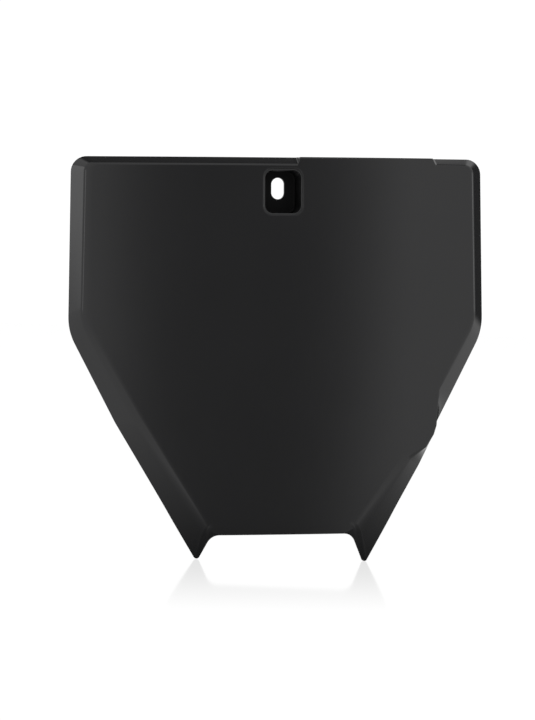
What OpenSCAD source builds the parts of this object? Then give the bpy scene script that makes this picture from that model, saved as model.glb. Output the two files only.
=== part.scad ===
// Front number plate: one injection-moulded piece in gloss black plastic.
// The face is gently bowed, a bevelled band runs round the top and the sides,
// two wider bands run down into pointed prongs, and a deep pocket near the top
// holds the head of the fixing screw.
// X is across the plate, Y goes back from the face, Z is up.  Sizes are in mm.

/* [Overall] */
// Width across the widest part of the plate
plate_w = 254; // [200:1:300]
// Height from the top edge to the point of the shorter prong
plate_h = 241.6; // [200:1:300]
// Thickness of the moulded wall
wall = 2.5; // [1.6:0.1:4]
// Radius of the bow of the face, about an upright axis behind the plate
bow_r = 830; // [400:10:2000]
// How far the band turns back from the face
band_depth = 8.5; // [5:0.5:16]

/* [Outline] */
// How much narrower the plate is at the top than at its widest, on each side
top_taper = 2.2; // [0:0.1:12]
// Height of the widest corner, measured down from the top edge
widest_drop = 105; // [80:1:130]
// Height of the bend in the lower edges, measured down from the top edge
bend_drop = 160; // [140:1:185]
// Distance in from the widest part to the lower edge at the bend
bend_in = 28; // [15:1:50]
// Radius of the two top corners
top_corner_r = 9.5; // [5:0.5:20]
// Radius of the two widest corners
side_corner_r = 35; // [10:1:60]

/* [Bands] */
// Width of the band along the top, seen from the front
top_band = 4.3; // [2:0.1:12]
// Width of the band down the sides, seen from the front
side_band = 6.6; // [3:0.1:14]
// Width of the lower bands just under the widest corners
lower_band = 9; // [5:0.5:18]
// Width of the lower bands beside the notch
prong_band = 14.5; // [8:0.5:22]
// How far the edge turns back at the points of the prongs
prong_depth = 7; // [5:0.5:10]

/* [Prongs and notch] */
// Height of the straight notch edge above the point of the shorter prong
notch_h = 14.6; // [8:0.5:40]
// Half the width of the notch at its straight edge, to the corner of the prong
notch_half = 43; // [25:1:60]
// Radius of the two inner corners of the notch
notch_r = 8; // [3:0.5:15]
// Half the distance between the points of the prongs
tip_half = 51.4; // [35:0.1:70]
// Radius of the point of a prong
tip_r = 1.8; // [1:0.1:4]
// How much longer the prong on the hose side is
long_prong = 3.3; // [0:0.1:10]

/* [Pocket] */
// Distance from the top edge down to the middle of the pocket
pocket_drop = 21; // [18:0.5:60]
// Width of the pocket at its mouth
mouth_w = 24.8; // [18:0.2:40]
// Height of the pocket at its mouth
mouth_h = 28.6; // [20:0.2:40]
// Depth of the shallow step round the mouth
mouth_step = 1.2; // [0.6:0.1:3]
// Width of the ledge of that step
mouth_ledge = 1.6; // [0.6:0.1:4]
// Corner radius of the mouth
mouth_r = 5.7; // [3:0.1:12]
// Depth of the pocket from the face to its floor
pocket_depth = 20; // [10:0.5:30]
// Width of the upright slot for the screw
slot_w = 8; // [5:0.1:12]
// Overall length of that slot
slot_l = 13; // [9:0.1:18]
// Height of the slot above the middle of the pocket
slot_up = 2.3; // [0:0.1:5]

/* [Hose clearance] */
// Start of the flush part of the top edge, measured from the middle
flush_from = 10; // [2:1:60]
// End of the flush part of the top edge, measured from the middle
flush_to = 93; // [40:1:105]
// Distance from the middle to the step in the lower band
step_x = 96; // [80:0.5:105]
// Top of the flush pad beside that step, measured down from the top edge
pad_from = 136; // [120:1:150]
// Bottom of the flush pad, measured down from the top edge
pad_to = 182; // [165:1:195]

/* [Ribs] */
// Thickness of the ribs behind the face
rib_t = 1.8; // [1.2:0.1:3]
// Reach of the two cross ribs on each side of the pocket
rib_reach = 62; // [30:1:90]
// Reach of the two upright ribs below the pocket
rib_fall = 78; // [30:1:110]

/* [View] */
// Sub-part to show

/* [Hidden] */
far = 400;
half_w = plate_w / 2;
// All heights are taken from the middle of the pocket, where z is 0
top_z = pocket_drop;
tip_z = top_z - plate_h;
notch_z = tip_z + notch_h;
widest_z = top_z - widest_drop;
bend_z = top_z - bend_drop;
low_z = tip_z - long_prong - 12;
seat_y = pocket_depth + wall;
slot_z = slot_up;
open_depth = band_depth + 8;
// Rounded corners stand out by this much, so that they cross the flats and never only touch them
ease = 0.015;
inner_w = mouth_w - 2 * mouth_ledge;
inner_h = mouth_h - 2 * mouth_ledge;
inner_r = mouth_r - 1;
pad_top_z = top_z - pad_from;
pad_low_z = top_z - pad_to;
pad_mid_z = pad_low_z + 0.42 * (pad_top_z - pad_low_z);
// The top band ends in a narrow flat along the back edge
top_k = top_band / (band_depth - 0.8);

// Depth of the bowed face at a distance x from the middle
function bow(x) = bow_r - sqrt(bow_r * bow_r - x * x);
function unit(v) = v / norm(v);
// Outward normal of the plane through three points, facing +X
function out_normal(a, b, c) = let (n = unit(cross(b - a, c - a))) n[0] < 0 ? -n : n;
function line_x(p, q, z) = p[0] + (q[0] - p[0]) * (z - p[1]) / (q[1] - p[1]);

// Corners of the edge, seen from the front, as [x, z]
edge_top = [half_w - top_taper, top_z];
edge_widest = [half_w, widest_z];
edge_bend = [half_w - bend_in, bend_z];

// Planes of the bands: a point on the crease, and the outward normal
function edge_pt(p, depth) = [p[0], bow(p[0]) + depth, p[1]];
function crease_pt(p, in) = [p[0] - in, bow(p[0] - in), p[1]];
function tip_corner(extra) = [tip_half, tip_z - tip_r - extra];
lean = cos(atan2(edge_widest[0] - edge_bend[0], edge_widest[1] - edge_bend[1]));
side_p = crease_pt(edge_top, side_band);
side_n = out_normal(side_p, crease_pt(edge_widest, side_band), edge_pt(edge_widest, band_depth));
upper_p = crease_pt(edge_widest, lower_band / lean);
// Points at the bend and at the point of the prong: c on the crease, e on the outer edge.
// The hose side has a longer prong and an edge that stands out further at the bend.
function bend_x(extra) = [edge_bend[0] + 0.8 * extra, bend_z];
function bend_c(extra) = crease_pt(bend_x(extra), (prong_band - 3.4 - 0.6 * extra) / lean);
function bend_e(extra) = edge_pt(bend_x(extra), band_depth);
function tip_c(extra) = crease_pt([line_x(edge_bend, tip_corner(extra), notch_z), notch_z], prong_band / lean);
function tip_e(extra) = edge_pt(tip_corner(extra), prong_depth);
upper_n = out_normal(upper_p, edge_pt(edge_widest, band_depth), bend_e(0));
function outer_n(extra) = out_normal(bend_c(extra), bend_e(extra), tip_e(extra));
function inner_n(extra) = out_normal(bend_c(extra), tip_c(extra), tip_e(extra));

// The point where three planes meet
function det3(a, b, c) = a * cross(b, c);
function meet(p1, n1, p2, n2, p3, n3) =
  let (d1 = p1 * n1, d2 = p2 * n2, d3 = p3 * n3)
  (d1 * cross(n2, n3) + d2 * cross(n3, n1) + d3 * cross(n1, n2)) / det3(n1, n2, n3);

// The tangent plane of the top band where the top corner starts
top_a = asin((edge_top[0] - top_corner_r) / bow_r);
top_p = [0, bow_r, 0] + [sin(top_a), -cos(top_a), 0] * bow_r + [0, 0, top_z - top_band];
top_n = unit([top_k * sin(top_a), -top_k * cos(top_a), 1]);

// The half of space that lies beyond a plane
module beyond(p, n) {
  translate(p)
    rotate([0, acos(n[2]), atan2(n[1], n[0])])
      translate([-far, -far, 0])
        cube([2 * far, 2 * far, far]);
}

// Turns a section drawn as [radius, z] about the axis of the bow, from one x to another
module bowed(section, x_from, x_to) {
  a_from = asin(x_from / bow_r);
  a_to = asin(x_to / bow_r);
  translate([0, bow_r, 0])
    rotate([0, 0, a_from - 90])
      rotate_extrude(angle = a_to - a_from, $fn = 1440)
        polygon(section);
}

// A shape drawn in front view, run through the plate from front to back
module through(y_from, y_to) {
  translate([0, y_to, 0])
    rotate([90, 0, 0])
      linear_extrude(y_to - y_from)
        children();
}

// The solid behind the bowed face, with its skin moved in by t
module bowed_block(t) {
  back = t > 0 ? open_depth : band_depth;
  low_back = t > 0 ? open_depth : prong_depth;
  section = [
    [bow_r - t, low_z],
    [bow_r - t, top_z - t],
    [bow_r - back, top_z - t],
    [bow_r - back, bend_z + 5],
    [bow_r - low_back, tip_z],
    [bow_r - low_back, low_z]
  ];
  bowed(section, -half_w - 8, half_w + 8);
}

// The wedge above the top band, from one x to another
module top_wedge(t, x_from, x_to) {
  shift = t * sqrt(1 + top_k * top_k);
  crease_z = top_z - top_band - shift;
  deep = open_depth + 4;
  section = [
    [bow_r + 4, crease_z - 4 * top_k],
    [bow_r + 4, top_z + 30],
    [bow_r - deep, top_z + 30],
    [bow_r - deep, crease_z + deep * top_k]
  ];
  bowed(section, x_from, x_to);
}

// Rounds the corner where two bands meet.  The cone touches both planes.
module corner_round(p1, n1, p2, n2, face_p, t, turn_face, turn_edge, run) {
  b = unit(n1 + n2);
  l0 = unit(cross(n1, n2));
  l = l0[1] < 0 ? -l0 : l0;
  grow = (turn_edge - turn_face) / run;
  tilt = atan(grow / sqrt(1 - (b * n1) * (b * n1)));
  a = l * cos(tilt) - b * sin(tilt);
  sin_h = (b * n1) * sin(tilt);
  at_face = meet(p1, n1, p2, n2, face_p, [0, 1, 0]);
  apex = at_face - l * (turn_face / grow) + a * (t / sin_h);
  // Sides of the wedge: planes through the axis and each line of contact
  w1 = unit(cross(a, a + n1 * sin_h));
  w2 = unit(cross(a, a + n2 * sin_h));
  s1 = w1 * n2 > 0 ? -w1 : w1;
  s2 = w2 * n1 > 0 ? -w2 : w2;
  near = 0.4 * turn_face / grow;
  reach = turn_face / grow + run + 30;
  slope = sin_h / sqrt(1 - sin_h * sin_h);
  // Directions across the axis, to turn the start of the cone to its far side
  across = [a[2] * a[0], a[2] * a[1], -a[0] * a[0] - a[1] * a[1]];
  beside = [-a[1], a[0], 0];
  away = atan2(-b * beside, -b * across);
  difference() {
    translate(apex)
      rotate([0, acos(a[2]), atan2(a[1], a[0])])
        translate([-reach, -reach, near])
          cube([2 * reach, 2 * reach, reach - near]);
    beyond(apex, s1);
    beyond(apex, s2);
    translate(apex)
      rotate([0, acos(a[2]), atan2(a[1], a[0])])
        rotate([0, 0, away])
          translate([0, 0, near - 1])
            cylinder(
              h = reach - near + 2,
              r1 = (near - 1) * slope + ease,
              r2 = (reach + 1) * slope + ease,
              $fn = 360
            );
  }
}

// Everything outside the bands down one side (s is 1 or -1), with the skin moved in by t
function at_side(v, s) = [s * v[0], v[1], v[2]];
module side_cut(t, s, extra) {
  run = norm([side_band, top_band, band_depth]);
  face_p = [0, bow(edge_top[0] - side_band), 0];
  turn = side_corner_r * tan((90 - asin(lean)) / 2);
  p_top = at_side(top_p, s);
  n_top = at_side(top_n, s);
  p_side = at_side(side_p, s);
  n_side = at_side(side_n, s);
  p_upper = at_side(upper_p, s);
  n_upper = at_side(upper_n, s);
  p_bend = at_side(bend_c(extra), s);
  n_outer = at_side(outer_n(extra), s);
  n_inner = at_side(inner_n(extra), s);
  beyond(p_side - n_side * t, n_side);
  // The band above the bend stops at the pad on the side where the one below stands out
  difference() {
    beyond(p_upper - n_upper * t, n_upper);
    if (extra > 0)
      translate([-far, -far, pad_mid_z - 8 - 2 * far])
        cube([2 * far, 2 * far, 2 * far]);
  }
  beyond(p_bend - n_outer * t, n_outer);
  beyond(p_bend - n_inner * t, n_inner);
  corner_round(
    p_top, n_top, p_side, n_side, face_p, t, 0.5 * top_corner_r, top_corner_r, run
  );
  corner_round(p_side, n_side, p_upper, n_upper, face_p, t, 0.8 * turn, turn, run);
}

// Front view of the notch between the prongs, and all that is below the prongs
function notch_pt(side, t, extra) =
  let (
    a = [notch_half, notch_z],
    b = tip_corner(extra),
    d = (b - a) / norm(b - a),
    n = [-d[1], d[0]],
    p = a + t * n,
    top_x = p[0] + d[0] * (notch_z + t - p[1]) / d[1]
  )
  side < 0 ? [-top_x, notch_z + t] : [top_x, notch_z + t];

function notch_low(side, t, extra) =
  let (
    a = [notch_half, notch_z],
    b = tip_corner(extra),
    d = (b - a) / norm(b - a),
    n = [-d[1], d[0]],
    p = a + t * n + d * 90
  )
  side < 0 ? [-p[0], p[1]] : p;

// What is cut away to round the corner at v, between the directions to a and b
module rounded_corner(a, v, b, r) {
  u1 = (a - v) / norm(a - v);
  u2 = (b - v) / norm(b - v);
  half = acos(u1 * u2) / 2;
  m = (u1 + u2) / norm(u1 + u2);
  c = v + m * (r / sin(half));
  t1 = v + u1 * (r / tan(half)) - c;
  t2 = v + u2 * (r / tan(half)) - c;
  difference() {
    polygon([c, c + 1.5 * t1, v - m * r, c + 1.5 * t2]);
    translate(c)
      rotate(atan2(m[1], m[0]))
        circle(r = r + ease, $fn = 90);
  }
}

module notch_2d(t) {
  left = notch_pt(-1, t, 0);
  right = notch_pt(1, t, long_prong);
  left_low = notch_low(-1, t, 0);
  right_low = notch_low(1, t, long_prong);
  difference() {
    polygon([left, right, right_low, left_low]);
    rounded_corner(right, left, left_low, notch_r + t);
    rounded_corner(left, right, right_low, notch_r + t);
  }
}

// Rounds the point of a prong
module tip_round(extra) {
  v = tip_corner(extra);
  a = [notch_half, notch_z];
  b = edge_bend;
  rounded_corner(a, v, b, tip_r);
}

// Front view of the flush pad that interrupts the lower band for the hose
module pad_2d(t) {
  polygon([
    [step_x - 36, pad_top_z],
    [step_x - t, pad_top_z],
    [step_x - t, pad_mid_z + t / 2],
    [step_x - 5 - t, pad_mid_z - 11 + t / 2],
    [step_x - 15 - t, pad_mid_z - 17.5 + t / 2],
    [step_x - 30 - t, pad_low_z + t / 2],
    [step_x - 36, pad_low_z + t / 2]
  ]);
}

// Front view of the sliver of band that is left off beside the pad
module clear_2d(t) {
  polygon([
    [step_x - t, pad_mid_z + 4 + t],
    [step_x + 20, pad_mid_z + 4 + t],
    [step_x + 20, pad_mid_z - 16],
    [step_x - 5 - t, pad_mid_z - 11],
    [step_x - t, pad_mid_z]
  ]);
}

// The outer shape of the plate as a solid, with its skin moved in by t
module body(t) {
  difference() {
    bowed_block(t);
    top_wedge(t, -half_w - 20, flush_from + t);
    top_wedge(t, flush_to - t, half_w + 20);
    side_cut(t, -1, 0);
    difference() {
      side_cut(t, 1, long_prong);
      through(-30, 60)
        pad_2d(t);
    }
    through(-30, 60)
      clear_2d(t);
    through(-30, 60)
      notch_2d(t);
  }
}

module rounded_rect(w, h, r) {
  square([w - 2 * r, h], center = true);
  square([w, h - 2 * r], center = true);
  for (x = [-1, 1]) {
    for (z = [-1, 1]) {
      translate([x * (w / 2 - r), z * (h / 2 - r)])
        circle(r = r, $fn = 72);
    }
  }
}

module pocket_cup() {
  through(wall / 2, seat_y)
    rounded_rect(inner_w + 2 * wall, inner_h + 2 * wall, inner_r + wall);
}

module pocket_hollow() {
  through(-5, mouth_step)
    rounded_rect(mouth_w, mouth_h, mouth_r);
  through(-5, pocket_depth)
    rounded_rect(inner_w, inner_h, inner_r);
  through(0, seat_y + 5)
    translate([0, slot_up]) {
      square([slot_w, slot_l - slot_w], center = true);
      translate([0, (slot_l - slot_w) / 2])
        circle(d = slot_w, $fn = 72);
      translate([0, -(slot_l - slot_w) / 2])
        circle(d = slot_w, $fn = 72);
    }
}

// Cross ribs beside the pocket and upright ribs below it
module ribs() {
  root_y = 0.7 * seat_y;
  for (z = [-1, 1]) {
    translate([0, 0, z * inner_h / 3 - rib_t / 2])
      linear_extrude(rib_t)
        for (s = [-1, 1]) {
          polygon([
            [s * inner_w / 2, wall / 2],
            [s * rib_reach, bow(rib_reach) + wall / 2],
            [s * rib_reach, bow(rib_reach) + wall + 1],
            [s * (inner_w / 2 + wall / 2), root_y],
          ]);
        }
  }
  for (s = [-1, 1]) {
    translate([s * inner_w / 3 - rib_t / 2, 0, 0])
      rotate([90, 0, 90])
        linear_extrude(rib_t)
          polygon([
            [wall / 2, -inner_h / 2],
            [root_y, -inner_h / 2 - wall / 2],
            [wall + 1, -inner_h / 2 - rib_fall],
            [wall / 2, -inner_h / 2 - rib_fall]
          ]);
  }
}

number_plate_colour = [0.03, 0.03, 0.032];

module number_plate() {
  color(number_plate_colour)
    translate([0, -seat_y, -slot_z])
      difference() {
        union() {
          difference() {
            body(0);
            body(wall);
          }
          pocket_cup();
          ribs();
        }
        pocket_hollow();
        through(-30, 60)
          tip_round(long_prong);
        mirror([1, 0, 0])
          through(-30, 60)
            tip_round(0);
      }
}

number_plate();
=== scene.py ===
# %% [markdown]
# # Front number plate
#
# A number plate for the front of an off-road bike: one piece of gloss black
# plastic, moulded in one shot. This lesson loads the measured CAD part as a fixed
# frame, builds a smoother skin for it, and lights it in a plain white room.
# Sizes are thought of in millimetres and turned to metres at the very end.

import math

import bmesh
import bpy
from mathutils import Matrix, Vector


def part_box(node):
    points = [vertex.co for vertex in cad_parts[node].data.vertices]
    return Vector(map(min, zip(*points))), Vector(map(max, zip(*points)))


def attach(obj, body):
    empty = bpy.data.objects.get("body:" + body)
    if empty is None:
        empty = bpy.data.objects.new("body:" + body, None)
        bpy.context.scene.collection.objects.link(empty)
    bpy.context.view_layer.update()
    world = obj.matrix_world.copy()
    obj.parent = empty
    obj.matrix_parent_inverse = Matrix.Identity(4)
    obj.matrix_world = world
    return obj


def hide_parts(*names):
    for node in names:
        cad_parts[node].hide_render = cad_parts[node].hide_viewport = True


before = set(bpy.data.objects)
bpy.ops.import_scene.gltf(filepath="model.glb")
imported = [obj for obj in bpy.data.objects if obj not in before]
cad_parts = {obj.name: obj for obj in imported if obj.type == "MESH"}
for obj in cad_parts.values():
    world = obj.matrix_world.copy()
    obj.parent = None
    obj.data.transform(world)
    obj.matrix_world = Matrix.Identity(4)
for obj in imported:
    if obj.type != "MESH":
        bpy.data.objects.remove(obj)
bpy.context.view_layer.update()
low, high = (1000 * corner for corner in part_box("number_plate"))
print("CAD box in mm:", [round(v, 1) for v in low], [round(v, 1) for v in high])

# %% [markdown]
# ## Camera and stage
#
# The plate is seen a little from its left and from just above its middle, through
# a long lens, so that its upright edges stay nearly parallel. It stands on its two
# prongs on a white, lightly polished table in a white room. A white room is the
# simplest way to a clean background, and it also gives gloss plastic something
# even to mirror.

# %% Camera
MM = 0.001
AIM = Vector((0, -22.5, -97.3))
TURN, LIFT, ROLL, DISTANCE = math.radians(10), math.radians(2), math.radians(0.2), 1700
LENS_MM, SHIFT_X, SHIFT_Y = 141.65, -0.0215, -0.0136

scene = bpy.context.scene
scene.view_settings.view_transform = "Standard"
camera = bpy.data.objects.new("camera", bpy.data.cameras.new("camera"))
scene.collection.objects.link(camera)
scene.camera = camera
towards = Vector((-math.sin(TURN) * math.cos(LIFT), -math.cos(TURN) * math.cos(LIFT), math.sin(LIFT)))
camera.location = (AIM + towards * DISTANCE) * MM
look = (-towards).to_track_quat("-Z", "Y")
roll = Matrix.Rotation(ROLL, 3, towards)
camera.rotation_euler = (roll @ look.to_matrix()).to_euler()
camera.data.sensor_width = 36
camera.data.lens = LENS_MM
camera.data.shift_x = SHIFT_X
camera.data.shift_y = SHIFT_Y
camera.data.clip_start = 0.05
print("camera at", [round(v, 3) for v in camera.location])


# %% [markdown]
# ## Helpers for materials
#
# Colours are easiest to read as hex codes, but shaders work in linear light, so one
# small function turns one into the other. Another adds a node with its settings and
# its links in one line, which keeps each material short enough to read at a glance.

# %% Colours and nodes
def linear(code):
    """Turns an sRGB hex colour into the linear numbers that a shader takes."""
    parts = [int(code[i:i + 2], 16) / 255 for i in (1, 3, 5)]
    return (*[c / 12.92 if c <= 0.04045 else ((c + 0.055) / 1.055) ** 2.4 for c in parts], 1)


def add_node(tree, kind, settings=None, links=None):
    """Adds one node, sets its fields and inputs, and links its inputs from other nodes."""
    node = tree.nodes.new(kind)
    for name, value in (settings or {}).items():
        if isinstance(name, int) or name in node.inputs.keys():
            node.inputs[name].default_value = value
        else:
            setattr(node, name, value)
    for name, source in (links or {}).items():
        tree.links.new(source, node.inputs[name])
    return node


def new_tree(name):
    """An empty material and its node tree."""
    material = bpy.data.materials.new(name)
    material.use_nodes = True
    material.node_tree.nodes.clear()
    return material, material.node_tree


# %% [markdown]
# ## Light
#
# Gloss black plastic has next to no colour of its own: what is seen on it is the
# room, at a few hundredths of its brightness. So the room is painted with care. It
# is white, with soft round parts that are darker or brighter, and each one is told
# by its direction from the plate. The camera itself sees plain white.

# %% White room with darker and brighter parts
world = bpy.data.worlds.new("white_room")
scene.world = world
world.use_nodes = True
room = world.node_tree
room.nodes.clear()
way = add_node(room, "ShaderNodeTexCoord").outputs["Generated"]


def room_part(light, azimuth, elevation, inner, outer, level):
    """Changes the light of the room round one direction, softly between two angles, to a level."""
    a, e = math.radians(azimuth), math.radians(elevation)
    axis = (math.sin(a) * math.cos(e), -math.cos(a) * math.cos(e), math.sin(e))
    unit = add_node(room, "ShaderNodeVectorMath", {"operation": "NORMALIZE"}, {0: way})
    near = add_node(room, "ShaderNodeVectorMath", {"operation": "DOT_PRODUCT", 1: axis}, {0: unit.outputs[0]})
    fade = add_node(
        room, "ShaderNodeMapRange",
        {"interpolation_type": "SMOOTHSTEP", "From Min": math.cos(math.radians(outer)),
         "From Max": math.cos(math.radians(inner)), "To Min": 1.0, "To Max": level},
        {"Value": near.outputs["Value"]},
    )
    changed = add_node(room, "ShaderNodeMath", {"operation": "MULTIPLY"}, {0: light, 1: fade.outputs[0]})
    return changed.outputs[0]


ROOM_LIGHT, SEEN_WHITE = 0.85, 1.05
# Azimuth from straight in front towards the right, elevation, the two angles of the soft edge, and the level
ROOM_PARTS = (
    (5.8, 0, 1, 18.5, 0.25),  # dark doorway behind the camera
    (136, 6, 20, 29, 0.08),  # dark corner behind the plate's right side
    (-150, 8, 22, 33, 0.20),  # dark corner behind its left side
    (176, 70, 18.3, 33, 0.10),  # unlit ceiling
    (-95, 14, 11.5, 15.5, 2.1),  # soft lamp on the left
    (75, 3, 4, 8, 3.0),  # small lamp on the right
    (-45, 3, 4, 7, 2.5),  # small lamp on the left, in front
)
even_light = add_node(room, "ShaderNodeValue")
even_light.outputs[0].default_value = ROOM_LIGHT
level = even_light.outputs[0]
for part in ROOM_PARTS:
    level = room_part(level, *part)
camera_ray = add_node(room, "ShaderNodeLightPath").outputs["Is Camera Ray"]
seen = add_node(
    room, "ShaderNodeMix", {"data_type": "FLOAT", "B": SEEN_WHITE}, {"Factor": camera_ray, "A": level}
)
sky = add_node(room, "ShaderNodeBackground", {"Color": (1, 1, 1, 1)}, {"Strength": seen.outputs["Result"]})
add_node(room, "ShaderNodeOutputWorld", links={"Surface": sky.outputs[0]})
print("parts of the room with their own light:", len(ROOM_PARTS))

# %% [markdown]
# ## The table
#
# A polished table mirrors the prongs faintly, and the reflection fades within a few
# hand's breadths. To the camera the table is a white glow with a little gloss mixed in
# near the plate. To the plate it is dim close by, a painted shadow of the plate itself,
# and further out it is as bright as the room.

# %% Table
TABLE_SIZE, TABLE_GAP, TABLE_WHITE, TABLE_PAINTED_SHADOW = 12000, 0.3, 1.06, 0.10
POLISH, POLISH_ENDS, POLISH_FULL = 0.26, -0.36, -0.02
SHADE_FROM, SHADE_TO = 0.05, 0.23
# One prong is longer, so the table is turned by 1.7 degrees for both prongs to stand on it
TABLE_SLOPE, LONG_PRONG_X = 3.0 / 103, 52

table_finish, tree = new_tree("polished_white_table")
camera_ray = add_node(tree, "ShaderNodeLightPath").outputs["Is Camera Ray"]
spot = add_node(tree, "ShaderNodeTexCoord").outputs["Object"]
glow = add_node(tree, "ShaderNodeEmission", {"Color": (1, 1, 1, 1), "Strength": TABLE_WHITE})
gloss = add_node(tree, "ShaderNodeBsdfGlossy", {"Color": (1, 1, 1, 1), "Roughness": 0.08})
polish = add_node(
    tree, "ShaderNodeMapRange",
    {"interpolation_type": "SMOOTHSTEP", "From Min": POLISH_ENDS, "From Max": POLISH_FULL,
     "To Min": 0.0, "To Max": POLISH},
    {"Value": add_node(tree, "ShaderNodeSeparateXYZ", links={0: spot}).outputs["Y"]},
)
seen = add_node(
    tree, "ShaderNodeMixShader", links={0: polish.outputs[0], 1: glow.outputs[0], 2: gloss.outputs[0]}
)
# Painted shadow: to the plate, the table glows dimly close by, where the plate's own shadow would fall, and
# is clear further out
across = add_node(tree, "ShaderNodeVectorMath", {"operation": "MULTIPLY", 1: (1, 1, 0)}, {0: spot})
away = add_node(tree, "ShaderNodeVectorMath", {"operation": "LENGTH"}, {0: across.outputs[0]})
fade = add_node(
    tree, "ShaderNodeMapRange", {"From Min": SHADE_FROM, "From Max": SHADE_TO, "To Min": 0.0, "To Max": 1.0},
    {"Value": away.outputs["Value"]},
)
painted_shadow = add_node(tree, "ShaderNodeEmission", {"Color": (1, 1, 1, 1), "Strength": TABLE_PAINTED_SHADOW})
clear = add_node(tree, "ShaderNodeBsdfTransparent")
mirrored = add_node(
    tree, "ShaderNodeMixShader", links={0: fade.outputs[0], 1: painted_shadow.outputs[0], 2: clear.outputs[0]}
)
both = add_node(
    tree, "ShaderNodeMixShader", links={0: camera_ray, 1: mirrored.outputs[0], 2: seen.outputs[0]}
)
add_node(tree, "ShaderNodeOutputMaterial", links={"Surface": both.outputs[0]})

table_z = low[2] - TABLE_GAP + TABLE_SLOPE * LONG_PRONG_X
bm = bmesh.new()
bmesh.ops.create_grid(bm, x_segments=1, y_segments=1, size=0.5)
bmesh.ops.scale(bm, vec=(TABLE_SIZE * MM, TABLE_SIZE * MM, 1), verts=bm.verts)
lean = Vector((1000 * TABLE_SLOPE, 0, 1000)).to_track_quat("Z", "Y")
bmesh.ops.rotate(bm, cent=(0, 0, 0), matrix=lean.to_matrix(), verts=bm.verts)
bmesh.ops.translate(bm, vec=Vector((0, 0, table_z)) * MM, verts=bm.verts)
table_mesh = bpy.data.meshes.new("table")
bm.to_mesh(table_mesh)
bm.free()
table_mesh.materials.append(table_finish)
table = bpy.data.objects.new("table", table_mesh)
scene.collection.objects.link(table)
print("table top under the middle of the plate at z =", round(table_z, 1), "mm")

# %% [markdown]
# ## The shape of the plate
#
# The face is a sheet bowed about an upright axis far behind it. Round it runs a
# bevelled band, and where the brake's hose passes, the band is left out: along
# part of the top edge and beside a pad low on one side. The whole skin can be
# described by three closed lines seen from the front: the rim at the back, a line
# half way up the band, and the crease where the band meets the face. Each line
# starts as a polygon of a few corners, and arcs round these corners off. The first
# line is a circle of points pulled into place. Extruding it again and again, and
# pulling each new line into place, gives a clean band of quads.

# %% Sizes of the plate, in the CAD part's own terms
BOW = 830  # radius of the bow
WALL = 2.5
SEAT = 22.5  # how far the back of the pocket's floor lies behind the face
FACE_Y = low[1]
DOWN = -2.3  # the frame's middle is the slot, which sits this much above the middle of the pocket


def bow(x):
    """How far the face falls back at a distance x from the middle."""
    return BOW - math.sqrt(BOW * BOW - x * x)


# One row for each corner, anticlockwise from the top right one. Each row holds the rim, the radius
# there, the crease, the radius there, the inner line and the number of cuts on the side that follows.
CORNERS = [
    ((125.6, 21.0, 8.5), 9.5, (118.2, 16.7), 5.0, (114.2, 15.15), 16),
    ((94.6, 21.0, 8.5), 0, (94.6, 16.9), 0, (94.6, 15.15), 2),
    ((92.8, 21.0, 8.5), 0, (92.8, 20.9), 0, (92.8, 15.15), 40),
    ((10.2, 21.0, 8.5), 0, (10.2, 20.9), 0, (10.2, 15.15), 2),
    ((8.6, 21.0, 8.5), 0, (8.6, 16.7), 0, (8.6, 15.15), 60),
    ((-126.1, 21.0, 8.5), 9.5, (-118.2, 16.7), 5.0, (-114.2, 15.15), 44),
    ((-127.7, -84.0, 8.5), 35, (-120.3, -77.8), 28, (-116.2, -76.5), 24),
    ((-99.8, -139.0, 8.5), 60, (-86.4, -139.0), 60, (-82.4, -136.8), 44),
    ((-50.9, -222.6, 7.0), 1.8, (-47.6, -201.8), 1.2, (-44.2, -198.0), 6),
    ((-43.0, -206.0, 0.0), 8, (-43.6, -203.0), 1.2, (-41.0, -199.0), 40),
    ((43.0, -206.0, 0.0), 8, (43.6, -203.0), 1.2, (41.0, -199.0), 6),
    ((52.0, -225.8, 7.0), 1.8, (48.0, -202.4), 1.2, (44.4, -198.4), 40),
    ((87.0, -165.6, 8.5), 0, (79.0, -160.4), 0, (75.2, -158.0), 5),
    ((92.4, -154.6, 8.5), 0, (89.6, -154.4), 0, (85.8, -151.6), 5),
    ((96.2, -146.8, 8.5), 0, (94.4, -146.6), 0, (90.0, -144.6), 4),
    ((97.2, -141.2, 8.5), 0, (96.2, -141.2), 0, (91.8, -140.4), 2),
    ((99.4, -137.4, 8.5), 0, (96.4, -137.4), 0, (92.0, -136.9), 10),
    ((108.8, -119.6, 8.5), 0, (97.8, -118.0), 0, (93.6, -117.2), 20),
    ((127.5, -84.0, 8.5), 35, (120.3, -77.8), 28, (116.2, -76.5), 44),
]
# Half way up the band, where that isn't simply the middle: the foot of the step beside the pad.
STEP_FOOT = {16: (97.0, -137.4, 6.2), 17: (98.4, -118.4, 0.2), 15: (96.5, -141.2, 4.2)}
ARC = 8


def closed_line(points, radii, cuts):
    """Points along a closed line with rounded corners, each as (x, z, depth behind the bowed face)."""
    count, corners = len(points), []
    for i, radius in enumerate(radii):
        here, before, after = (Vector(points[k % count]) for k in (i, i - 1, i + 1))
        if not radius:
            corners.append([here])
            continue
        into, out = before - here, after - here
        half = into.to_2d().angle(out.to_2d()) / 2
        reach = radius / math.tan(half)
        a = here + into * (reach / into.to_2d().length)
        b = here + out * (reach / out.to_2d().length)
        inward = (into.to_2d().normalized() + out.to_2d().normalized()).normalized()
        centre = here.to_2d() + inward * radius / math.sin(half)
        spoke_a, spoke_b = a.to_2d() - centre, b.to_2d() - centre
        arc = []
        for k in range(ARC + 1):
            spoke = spoke_a.lerp(spoke_b, k / ARC).normalized() * radius
            depth = a.z + (b.z - a.z) * k / ARC
            arc.append(Vector((*(centre + spoke), depth)))
        corners.append(arc)
    line = []
    for i, arc in enumerate(corners):
        nxt = corners[(i + 1) % count][0]
        line += arc
        line += [arc[-1].lerp(nxt, (k + 1) / (cuts[i] + 1)) for k in range(cuts[i])]
    return line


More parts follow.
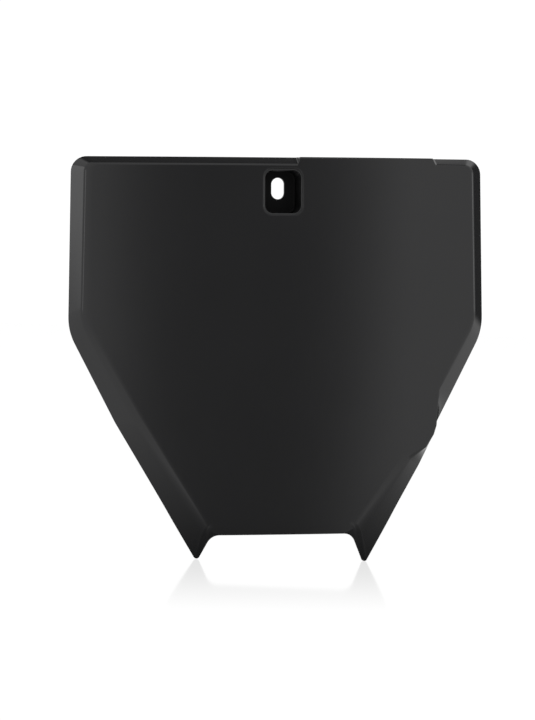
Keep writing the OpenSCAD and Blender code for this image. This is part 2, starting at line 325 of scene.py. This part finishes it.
def on_bow(x, z, depth):
    """A point seen from the front, put in its place behind the bowed face, in the frame's millimetres."""
    return Vector((x, FACE_Y + bow(x) + depth, z + DOWN))


cuts = [row[5] for row in CORNERS]
rim = closed_line([row[0] for row in CORNERS], [row[1] for row in CORNERS], cuts)
crease = closed_line([(*row[2], 0) for row in CORNERS], [row[3] for row in CORNERS], cuts)
inner = closed_line([(*row[4], 0) for row in CORNERS], [row[3] * 0.8 for row in CORNERS], cuts)
middle = [tuple((Vector(row[0]) + Vector((*row[2], 0))) / 2) for row in CORNERS]
for index, point in STEP_FOOT.items():
    middle[index] = point
half_way = closed_line(middle, [(row[1] + row[3]) / 2 for row in CORNERS], cuts)
print("points on each line:", len(rim), len(half_way), len(crease), len(inner))
for name, k in (("across", 0), ("up", 1)):
    print("rim", name, "from", round(min(p[k] for p in rim), 1), "to", round(max(p[k] for p in rim), 1), "mm")

# %% The band, drawn line by line
bm = bmesh.new()
place = bm.verts.layers.int.new("place")
ring_id = bm.verts.layers.int.new("ring_id")
round_off = bm.edges.layers.float.new("bevel_weight_edge")
RIM, HALF, CREASE, INNER, GRID, MOUTH, STEP, LEDGE, FLOOR, SLOT = range(1, 11)


def first_ring(points, number):
    """Pulls a circle of vertices onto a line."""
    made = bmesh.ops.create_circle(bm, segments=len(points), radius=1)["verts"]
    for i, (vertex, point) in enumerate(zip(made, points)):
        vertex.co, vertex[place], vertex[ring_id] = point, i, number
    return list({e for v in made for e in v.link_edges})


def next_ring(edges, points, number):
    """Extrudes a closed line of edges and pulls the new ones onto the next line."""
    made = bmesh.ops.extrude_edge_only(bm, edges=edges)["geom"]
    for vertex in (g for g in made if isinstance(g, bmesh.types.BMVert)):
        vertex.co, vertex[ring_id] = points[vertex[place]], number
    drawn = (g for g in made if isinstance(g, bmesh.types.BMEdge))
    return [e for e in drawn if all(v[ring_id] == number for v in e.verts)]


edges = first_ring([on_bow(*p) for p in rim], RIM)
for number, line in ((HALF, half_way), (CREASE, crease), (INNER, inner)):
    edges = next_ring(edges, [on_bow(*p) for p in line], number)
bmesh.ops.contextual_create(bm, geom=edges)
inside = bm.faces.layers.int.new("inside")
max(bm.faces, key=lambda f: len(f.verts))[inside] = 1
print("band faces:", len(bm.faces) - 1)

# %% [markdown]
# ## The bowed face
#
# Inside the band the face is one big flat-looking face, which can't bend. Slicing it
# with upright and level planes gives it a net of quads, and each point of the net is
# then pushed back onto the bow. A subdivided grid would need trimming to the outline,
# and the slices follow it by themselves.

# %% The bowed face, cut into a net
for axis, steps in ((0, range(-114, 115, 6)), (2, range(-190, 11, 10))):
    for step in steps:
        at = Vector((0, 0, 0))
        at[axis] = step + (DOWN if axis == 2 else 0)
        normal = Vector((axis == 0, 0, axis == 2))
        part = [f for f in bm.faces if f[inside]]
        geom = list({g for f in part for g in (*f.verts, *f.edges)}) + part
        bmesh.ops.bisect_plane(bm, geom=geom, dist=0.0001, plane_co=at, plane_no=normal)
for vertex in {v for f in bm.faces if f[inside] for v in f.verts}:
    vertex.co.y = FACE_Y + bow(vertex.co.x)
    if vertex[ring_id] == 0:
        vertex[ring_id] = GRID
print("net faces:", sum(1 for f in bm.faces if f[inside]))

# %% [markdown]
# ## The pocket
#
# The fixing screw sits at the bottom of a deep pocket, so that its head stays below
# the face. The mouth has a shallow step, and the floor has an upright slot, which
# lets the plate be set higher or lower. The pocket is drawn in the same way as the
# band: one closed line after another, down to the slot.

# %% Window in the net, and the mouth of the pocket
WINDOW_X, WINDOW_Z = 18, -20
window = [
    f for f in bm.faces
    if f[inside] and abs(f.calc_center_median().x) < WINDOW_X and f.calc_center_median().z > WINDOW_Z + DOWN
]
bmesh.ops.delete(bm, geom=window, context="FACES")


def window_edges():
    """Open edges of the skin, apart from those round the rim."""
    return [e for e in bm.edges if e.is_boundary and not all(v[ring_id] == RIM for v in e.verts)]


# The sides and the foot of the window get more points, to pair with those round the mouth
for cuts_here, side in ((3, "side"), (2, "foot")):
    part = []
    for e in window_edges():
        flat_foot = abs(e.verts[0].co.z - e.verts[1].co.z) < 0.01
        upright = abs(e.verts[0].co.x - e.verts[1].co.x) < 0.01
        if (side == "side" and upright) or (side == "foot" and flat_foot and e.verts[0].co.z < -10):
            part.append(e)
    bmesh.ops.subdivide_edges(bm, edges=part, cuts=cuts_here)
open_edges = window_edges()
for vertex in {v for e in open_edges for v in e.verts}:
    vertex.co.y = FACE_Y + bow(vertex.co.x)
spare = len(open_edges) - 4 * (ARC + 1)
SIDES = [spare // 4 + (k < spare % 4) for k in range(4)]
print("points round the window:", len(open_edges), "cuts on the sides of the mouth:", SIDES)


def rounded_rectangle(width, height, radius, rise, depth, side_cuts):
    """A closed line round a rectangle with round corners, anticlockwise."""
    x, z = width / 2, height / 2
    points = [(x, z + rise, depth), (-x, z + rise, depth), (-x, -z + rise, depth), (x, -z + rise, depth)]
    return [on_flat(*p) for p in closed_line(points, [radius] * 4, side_cuts)]


def on_flat(x, z, depth):
    """A point at a depth behind the middle of the face, where the pocket's step and floor are flat."""
    return Vector((x, FACE_Y + depth, z + DOWN))


# Width, height, corner radius, rise above the middle of the pocket and depth of each line
POCKET = {
    MOUTH: (24.2, 28.0, 5.5, 0, 0),
    STEP: (24.0, 27.8, 5.4, 0, 1.2),
    LEDGE: (21.6, 25.4, 4.7, 0, 1.25),
    FLOOR: (21.4, 25.2, 4.6, 0, 20),
    SLOT: (8.0, 13.0, 3.999, 2.3, 20),
}
mouth = rounded_rectangle(*POCKET[MOUTH], SIDES)
for point in mouth:
    point.y += bow(point.x)
edges = first_ring(mouth, MOUTH)
bmesh.ops.bridge_loops(bm, edges=open_edges + edges)
for number in (STEP, LEDGE, FLOOR, SLOT):
    edges = next_ring(edges, rounded_rectangle(*POCKET[number], SIDES), number)
print("skin faces:", len(bm.faces), "open edges:", sum(e.is_boundary for e in bm.edges))

# %% [markdown]
# ## Rounded creases
#
# No moulded edge is sharp: each crease is a small roll, and the highlight that runs along
# it is what makes the plate look solid. A Bevel modifier rounds them all at once. It is
# left live, and each edge carries a weight that says how much of it applies there.

# %% How much each kind of edge is rounded
SOFT = 3.2  # the widest rounding, in mm
POCKET_ROUNDING = {MOUTH: 0.12, STEP: 0.1, LEDGE: 0.2, FLOOR: 0.3}
CREASE_TOP, CREASE_TOP_CORNER, CREASE_SIDE, CREASE_STEP = 0.28, 0.34, 0.42, 0.25
RIM_ROUNDING, PRONG_RIM_ROUNDING, SLOT_ROUNDING, RIB_ROUNDING = 0.2, 0.03, 0.02, 0.1


def crease_rounding(x, z):
    """Share of SOFT by which the crease between the face and the band is rounded."""
    if z < -202.2 and abs(x) < 45.5:  # beside the notch
        return 0
    if z > 17.5:
        return CREASE_TOP
    if x > 85 and -156 < z < -118:  # along the pad's step
        return CREASE_STEP
    if z < -150:  # down the prongs
        return 1.0
    if z < -80:  # growing from the widest corner to the bend
        return 0.5 + 0.5 * (-80 - z) / 70
    return CREASE_SIDE if z < 16 else CREASE_TOP_CORNER


def rounding(edge):
    """Share of SOFT by which any edge of the front is rounded."""
    rings = {v[ring_id] for v in edge.verts}
    mid = (edge.verts[0].co + edge.verts[1].co) / 2
    if rings == {CREASE}:
        return crease_rounding(mid.x, mid.z - DOWN)
    return POCKET_ROUNDING.get(rings.pop(), 0) if len(rings) == 1 else 0


half_of = {v[place]: v for v in bm.verts if v[ring_id] == HALF}
for edge in bm.edges:
    share = rounding(edge)
    if share and {v[ring_id] for v in edge.verts} == {CREASE}:
        room_here = min((v.co - half_of[v[place]].co).length for v in edge.verts)
        share = min(share, 0.4 * room_here / SOFT)
    edge[round_off] = share
print("rounded edges of the front:", sum(1 for e in bm.edges if e[round_off]))

# %% [markdown]
# ## Thickness
#
# A moulded plate has one wall thickness nearly everywhere. The skin is copied, the
# copy is moved back along its normals by the wall, and the two are joined round the
# rim and round the slot. The cup behind the pocket has straight outer walls, so the
# copy of those lines is placed by its size instead.

# %% Back of the plate
MOST_SHELL = 1.6  # a wall round a sharp corner is no more than this much thicker
CUP_WIDTH, CUP_HEIGHT = 26.6, 30.4
CUP_DEPTH = {MOUTH: WALL, STEP: WALL + 2, LEDGE: WALL + 4, FLOOR: SEAT}

bmesh.ops.recalc_face_normals(bm, faces=bm.faces)
bm.normal_update()
if sum(f.normal.y * f.calc_area() for f in bm.faces if f[inside]) > 0:
    bmesh.ops.reverse_faces(bm, faces=bm.faces)
bm.normal_update()
front = list(bm.verts)
back_of = bmesh.ops.duplicate(bm, geom=bm.verts[:] + bm.edges[:] + bm.faces[:])["vert_map"]
moved = {}
for v in front:
    moved[v] = v.co - v.normal * (WALL * min(v.calc_shell_factor(), MOST_SHELL))
for v in front:
    number = v[ring_id]
    if number in CUP_DEPTH:
        wide, tall = CUP_WIDTH / POCKET[number][0], CUP_HEIGHT / POCKET[number][1]
        moved[v] = Vector((v.co.x * wide, FACE_Y + CUP_DEPTH[number], DOWN + (v.co.z - DOWN) * tall))
    elif number == SLOT:
        moved[v] = Vector((v.co.x, FACE_Y + SEAT, v.co.z))
# Where the row of each corner starts on the rim, to find the notch
starts = [0]
for row in CORNERS:
    starts.append(starts[-1] + (ARC + 1 if row[1] else 1) + row[5])
notch_from, notch_to = starts[8] + ARC // 2, starts[11] + ARC // 2
half_of = {v[place]: v for v in front if v[ring_id] == HALF}
for v in front:
    if v[ring_id] == RIM:
        start, end = moved[half_of[v[place]]], moved[v]
        share = (v.co.y - start.y) / max(end.y - start.y, 0.1)
        if 0.4 < share < 1:
            moved[v] = start.lerp(end, share)
        # The notch is cut straight through, so its back edge lies right behind its front edge
        straight = min(v[place] - notch_from, notch_to - v[place]) / 3 + 0.5
        behind = v.co + Vector((0, WALL / max(-v.normal.y, 0.5), 0))
        moved[v] = moved[v].lerp(behind, min(max(straight, 0), 1))
for v, where in moved.items():
    back_of[v].co = where
# Behind the prongs the creases are too close together for a rounding, so they stay sharp
for edge in {e for v in front if v.co.z - DOWN < -180 for e in back_of[v].link_edges}:
    edge[round_off] = 0
back_faces = {f for v in front for f in back_of[v].link_faces}
bmesh.ops.reverse_faces(bm, faces=list(back_faces))
for number in (RIM, SLOT):
    pair = [e for e in bm.edges if e.is_boundary and all(v[ring_id] == number for v in e.verts)]
    bmesh.ops.bridge_loops(bm, edges=pair)
    for e in pair:
        in_prong = min(v.co.z for v in e.verts) - DOWN < -195
        rim_share = PRONG_RIM_ROUNDING if in_prong else RIM_ROUNDING
        e[round_off] = rim_share if number == RIM else SLOT_ROUNDING
print("closed:", all(e.is_manifold for e in bm.edges), "faces:", len(bm.faces))

# %% [markdown]
# ## Ribs
#
# Thin upright walls behind the face brace the deep cup, so that a knock on the plate
# doesn't crack it off. Two run out to each side and two run down, and they get lower
# away from the cup. Each is a flat four-sided outline, extruded by its thickness.

# %% Ribs behind the cup
RIB = 1.8  # thickness
CUP_SIDE, CUP_FOOT, IN_WALL = 12.05, -13.3, 1.25  # where the ribs start, inside the walls
ROOT, TAIL = 15.75, WALL + 1  # how far behind the face they reach, at the cup and at the far end
REACH, FALL = 62, -90.7  # how far out and how far down they run
CROSS_AT, UPRIGHT_AT = 8.47, 7.2


def rib(outline, along):
    """A thin wall from a four-sided outline of (x, depth, z), with its thickness along one direction."""
    corners = bmesh.ops.create_circle(bm, cap_ends=True, segments=4, radius=1)["verts"]
    for corner, (x, depth, z) in zip(corners, outline):
        corner.co = Vector((x, FACE_Y + depth, z + DOWN)) - Vector(along) * RIB / 2
    flat = list({f for v in corners for f in v.link_faces})
    grown = bmesh.ops.extrude_face_region(bm, geom=flat)["geom"]
    far_side = [g for g in grown if isinstance(g, bmesh.types.BMVert)]
    bmesh.ops.translate(bm, vec=Vector(along) * RIB, verts=far_side)
    for e in {e for v in corners + far_side for e in v.link_edges}:
        e[round_off] = RIB_ROUNDING


for height in (CROSS_AT, -CROSS_AT):
    for side in (1, -1):
        rib([(side * CUP_SIDE, IN_WALL, height), (side * REACH, bow(REACH) + IN_WALL, height),
             (side * REACH, bow(REACH) + TAIL, height), (side * CUP_SIDE, ROOT, height)], (0, 0, 1))
for side in (UPRIGHT_AT, -UPRIGHT_AT):
    rib([(side, IN_WALL, CUP_FOOT), (side, ROOT, CUP_FOOT),
         (side, TAIL, FALL), (side, IN_WALL, FALL)], (1, 0, 0))
print("with ribs, closed:", all(e.is_manifold for e in bm.edges), "faces:", len(bm.faces))

# %% Which faces belong to the inside of the pocket
JUST_PAST_FLOOR = 20.1
for f in bm.faces:
    in_pocket = {v[ring_id] for v in f.verts} in ({LEDGE, FLOOR}, {FLOOR, SLOT})
    f.material_index = int(in_pocket and f.calc_center_median().y < FACE_Y + JUST_PAST_FLOOR)
print("faces inside the pocket:", sum(f.material_index for f in bm.faces))

# %% [markdown]
# ## From mesh data to an object
#
# The finished skin goes into one object at the origin, in metres. Two modifiers stay
# live on it: Bevel rolls the weighted edges, and Weighted Normal keeps the large faces
# looking flat right up to those rolls. The object rides on the part's one body and
# stands for its one CAD node.

# %% Finish the mesh
bmesh.ops.recalc_face_normals(bm, faces=bm.faces)
bmesh.ops.scale(bm, vec=(MM, MM, MM), verts=bm.verts)
for f in bm.faces:
    f.smooth = True
mesh = bpy.data.meshes.new("plate")
bm.to_mesh(mesh)
bm.free()
plate = bpy.data.objects.new("plate", mesh)
scene.collection.objects.link(plate)
soften = plate.modifiers.new("rounded_edges", "BEVEL")
soften.limit_method = "WEIGHT"
soften.width = SOFT * MM
soften.segments = 5
soften.profile = 0.5
soften.use_clamp_overlap = False
weigh = plate.modifiers.new("even_shading", "WEIGHTED_NORMAL")
weigh.keep_sharp = True
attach(plate, "root")
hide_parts("number_plate")

# %% [markdown]
# ## Plastic
#
# The plate is polypropylene, which is tough and takes a knock without cracking. It is
# moulded in a polished steel tool, so its front is a dark mirror. The mirror isn't
# perfect: the wall shrinks a little as it cools, which leaves it faintly wavy, and
# handling leaves hairlines that blur it here and there. Its back comes off a
# spark-eroded half of the tool and is satin, with a fine grain. One material gives
# both, and tells front from back by which way the surface faces.

# %% Gloss black polypropylene
# Real grain is finer than this and real hairlines are a tenth as wide: these are as coarse as they
# need to be to show at all
GRAIN_MM, HAIRLINE_MM = 0.8, 0.5
WAVE_MM, FLOW_MM = 45, 60
HAIRLINE_ANGLE, HAIRLINE_STRETCH = math.radians(28), 40


def per_metre(size_mm):
    """Scale of a pattern whose features are this many millimetres across."""
    return 1 / (size_mm * MM)


# Moulded polypropylene: IOR about 1.49. A polished tool makes it mirror the room sharply
plastic, tree = new_tree("gloss_black_polypropylene")
coords = add_node(tree, "ShaderNodeTexCoord")
spot = coords.outputs["Object"]
facing = add_node(tree, "ShaderNodeSeparateXYZ", links={0: coords.outputs["Normal"]}).outputs["Y"]
back = add_node(tree, "ShaderNodeMapRange", {"From Min": 0.05, "From Max": 0.3}, {"Value": facing}).outputs[0]

# Colour: the pigment is a shade uneven where the melt flowed
flow = add_node(tree, "ShaderNodeTexNoise", {"Scale": per_metre(FLOW_MM), "Detail": 3.0}, {"Vector": spot})
colour = add_node(
    tree, "ShaderNodeMix", {"data_type": "RGBA", 6: linear("#1a1a1b"), 7: linear("#202021")},
    {0: flow.outputs["Fac"]},
)

# Roughness: hairlines on the front, satin on the back
drawn = add_node(
    tree, "ShaderNodeMapping", {"Rotation": (0, HAIRLINE_ANGLE, 0), "Scale": (1, 1, 1 / HAIRLINE_STRETCH)},
    {"Vector": spot},
)
hairs = add_node(
    tree, "ShaderNodeTexNoise", {"Scale": per_metre(HAIRLINE_MM), "Detail": 1.0}, {"Vector": drawn.outputs[0]}
)
front_blur = add_node(
    tree, "ShaderNodeMapRange", {"From Min": 0.45, "From Max": 0.8, "To Min": 0.07, "To Max": 0.13},
    {"Value": hairs.outputs["Fac"]},
)
blur = add_node(tree, "ShaderNodeMix", {"data_type": "FLOAT", 3: 0.42}, {0: back, 2: front_blur.outputs[0]})

# Relief: shrinkage waves 0.03 mm high all over, and a grain 0.2 mm high on the back
waves = add_node(tree, "ShaderNodeTexNoise", {"Scale": per_metre(WAVE_MM), "Detail": 1.0}, {"Vector": spot})
wavy = add_node(
    tree, "ShaderNodeBump", {"Strength": 1.0, "Distance": 0.03 * MM}, {"Height": waves.outputs["Fac"]}
)
grain = add_node(tree, "ShaderNodeTexNoise", {"Scale": per_metre(GRAIN_MM), "Detail": 2.0}, {"Vector": spot})
grain_height = add_node(
    tree, "ShaderNodeMath", {"operation": "MULTIPLY"}, {0: grain.outputs["Fac"], 1: back}
)
grainy = add_node(
    tree, "ShaderNodeBump", {"Strength": 0.6, "Distance": 0.2 * MM},
    {"Height": grain_height.outputs[0], "Normal": wavy.outputs[0]},
)
skin = add_node(
    tree, "ShaderNodeBsdfPrincipled", {"IOR": 1.49},
    {"Base Color": colour.outputs[2], "Roughness": blur.outputs[0], "Normal": grainy.outputs[0]},
)
add_node(tree, "ShaderNodeOutputMaterial", links={"Surface": skin.outputs[0]})
mesh.materials.append(plastic)

# %% [markdown]
# ## Inside the pocket
#
# The steel core that forms the pocket isn't polished, so the walls and the floor in there
# are matt. Their colour is also painted darker, and their reflection weaker, than the
# plastic's own: this is painted shade for the deep pocket, and it makes it look like a black hole
# in a dark mirror. It is the same plastic with another surface, so it gets its own small material.

# %% Matt black polypropylene, with painted shade
pocket_matt_and_painted_shade, tree = new_tree("pocket_matt_with_painted_shade")
spot = add_node(tree, "ShaderNodeTexCoord").outputs["Object"]
grain = add_node(tree, "ShaderNodeTexNoise", {"Scale": per_metre(GRAIN_MM), "Detail": 2.0}, {"Vector": spot})
grain = grain.outputs["Fac"]
# Painted shade: a base colour darker than the front's, standing in for the shade deep in the pocket
colour = add_node(
    tree, "ShaderNodeMix", {"data_type": "RGBA", 6: linear("#0c0c0d"), 7: linear("#131313")}, {0: grain}
)
blur = add_node(tree, "ShaderNodeMapRange", {"To Min": 0.5, "To Max": 0.65}, {"Value": grain})
grainy = add_node(tree, "ShaderNodeBump", {"Strength": 0.5, "Distance": 0.1 * MM}, {"Height": grain})
# Painted shade: Specular IOR Level 0.15 weakens the reflection below this plastic's own, to darken the pocket
skin = add_node(
    tree, "ShaderNodeBsdfPrincipled", {"IOR": 1.49, "Specular IOR Level": 0.15},
    {"Base Color": colour.outputs[2], "Roughness": blur.outputs[0], "Normal": grainy.outputs[0]},
)
add_node(tree, "ShaderNodeOutputMaterial", links={"Surface": skin.outputs[0]})
mesh.materials.append(pocket_matt_and_painted_shade)
print("finishes:", [m.name for m in mesh.materials])
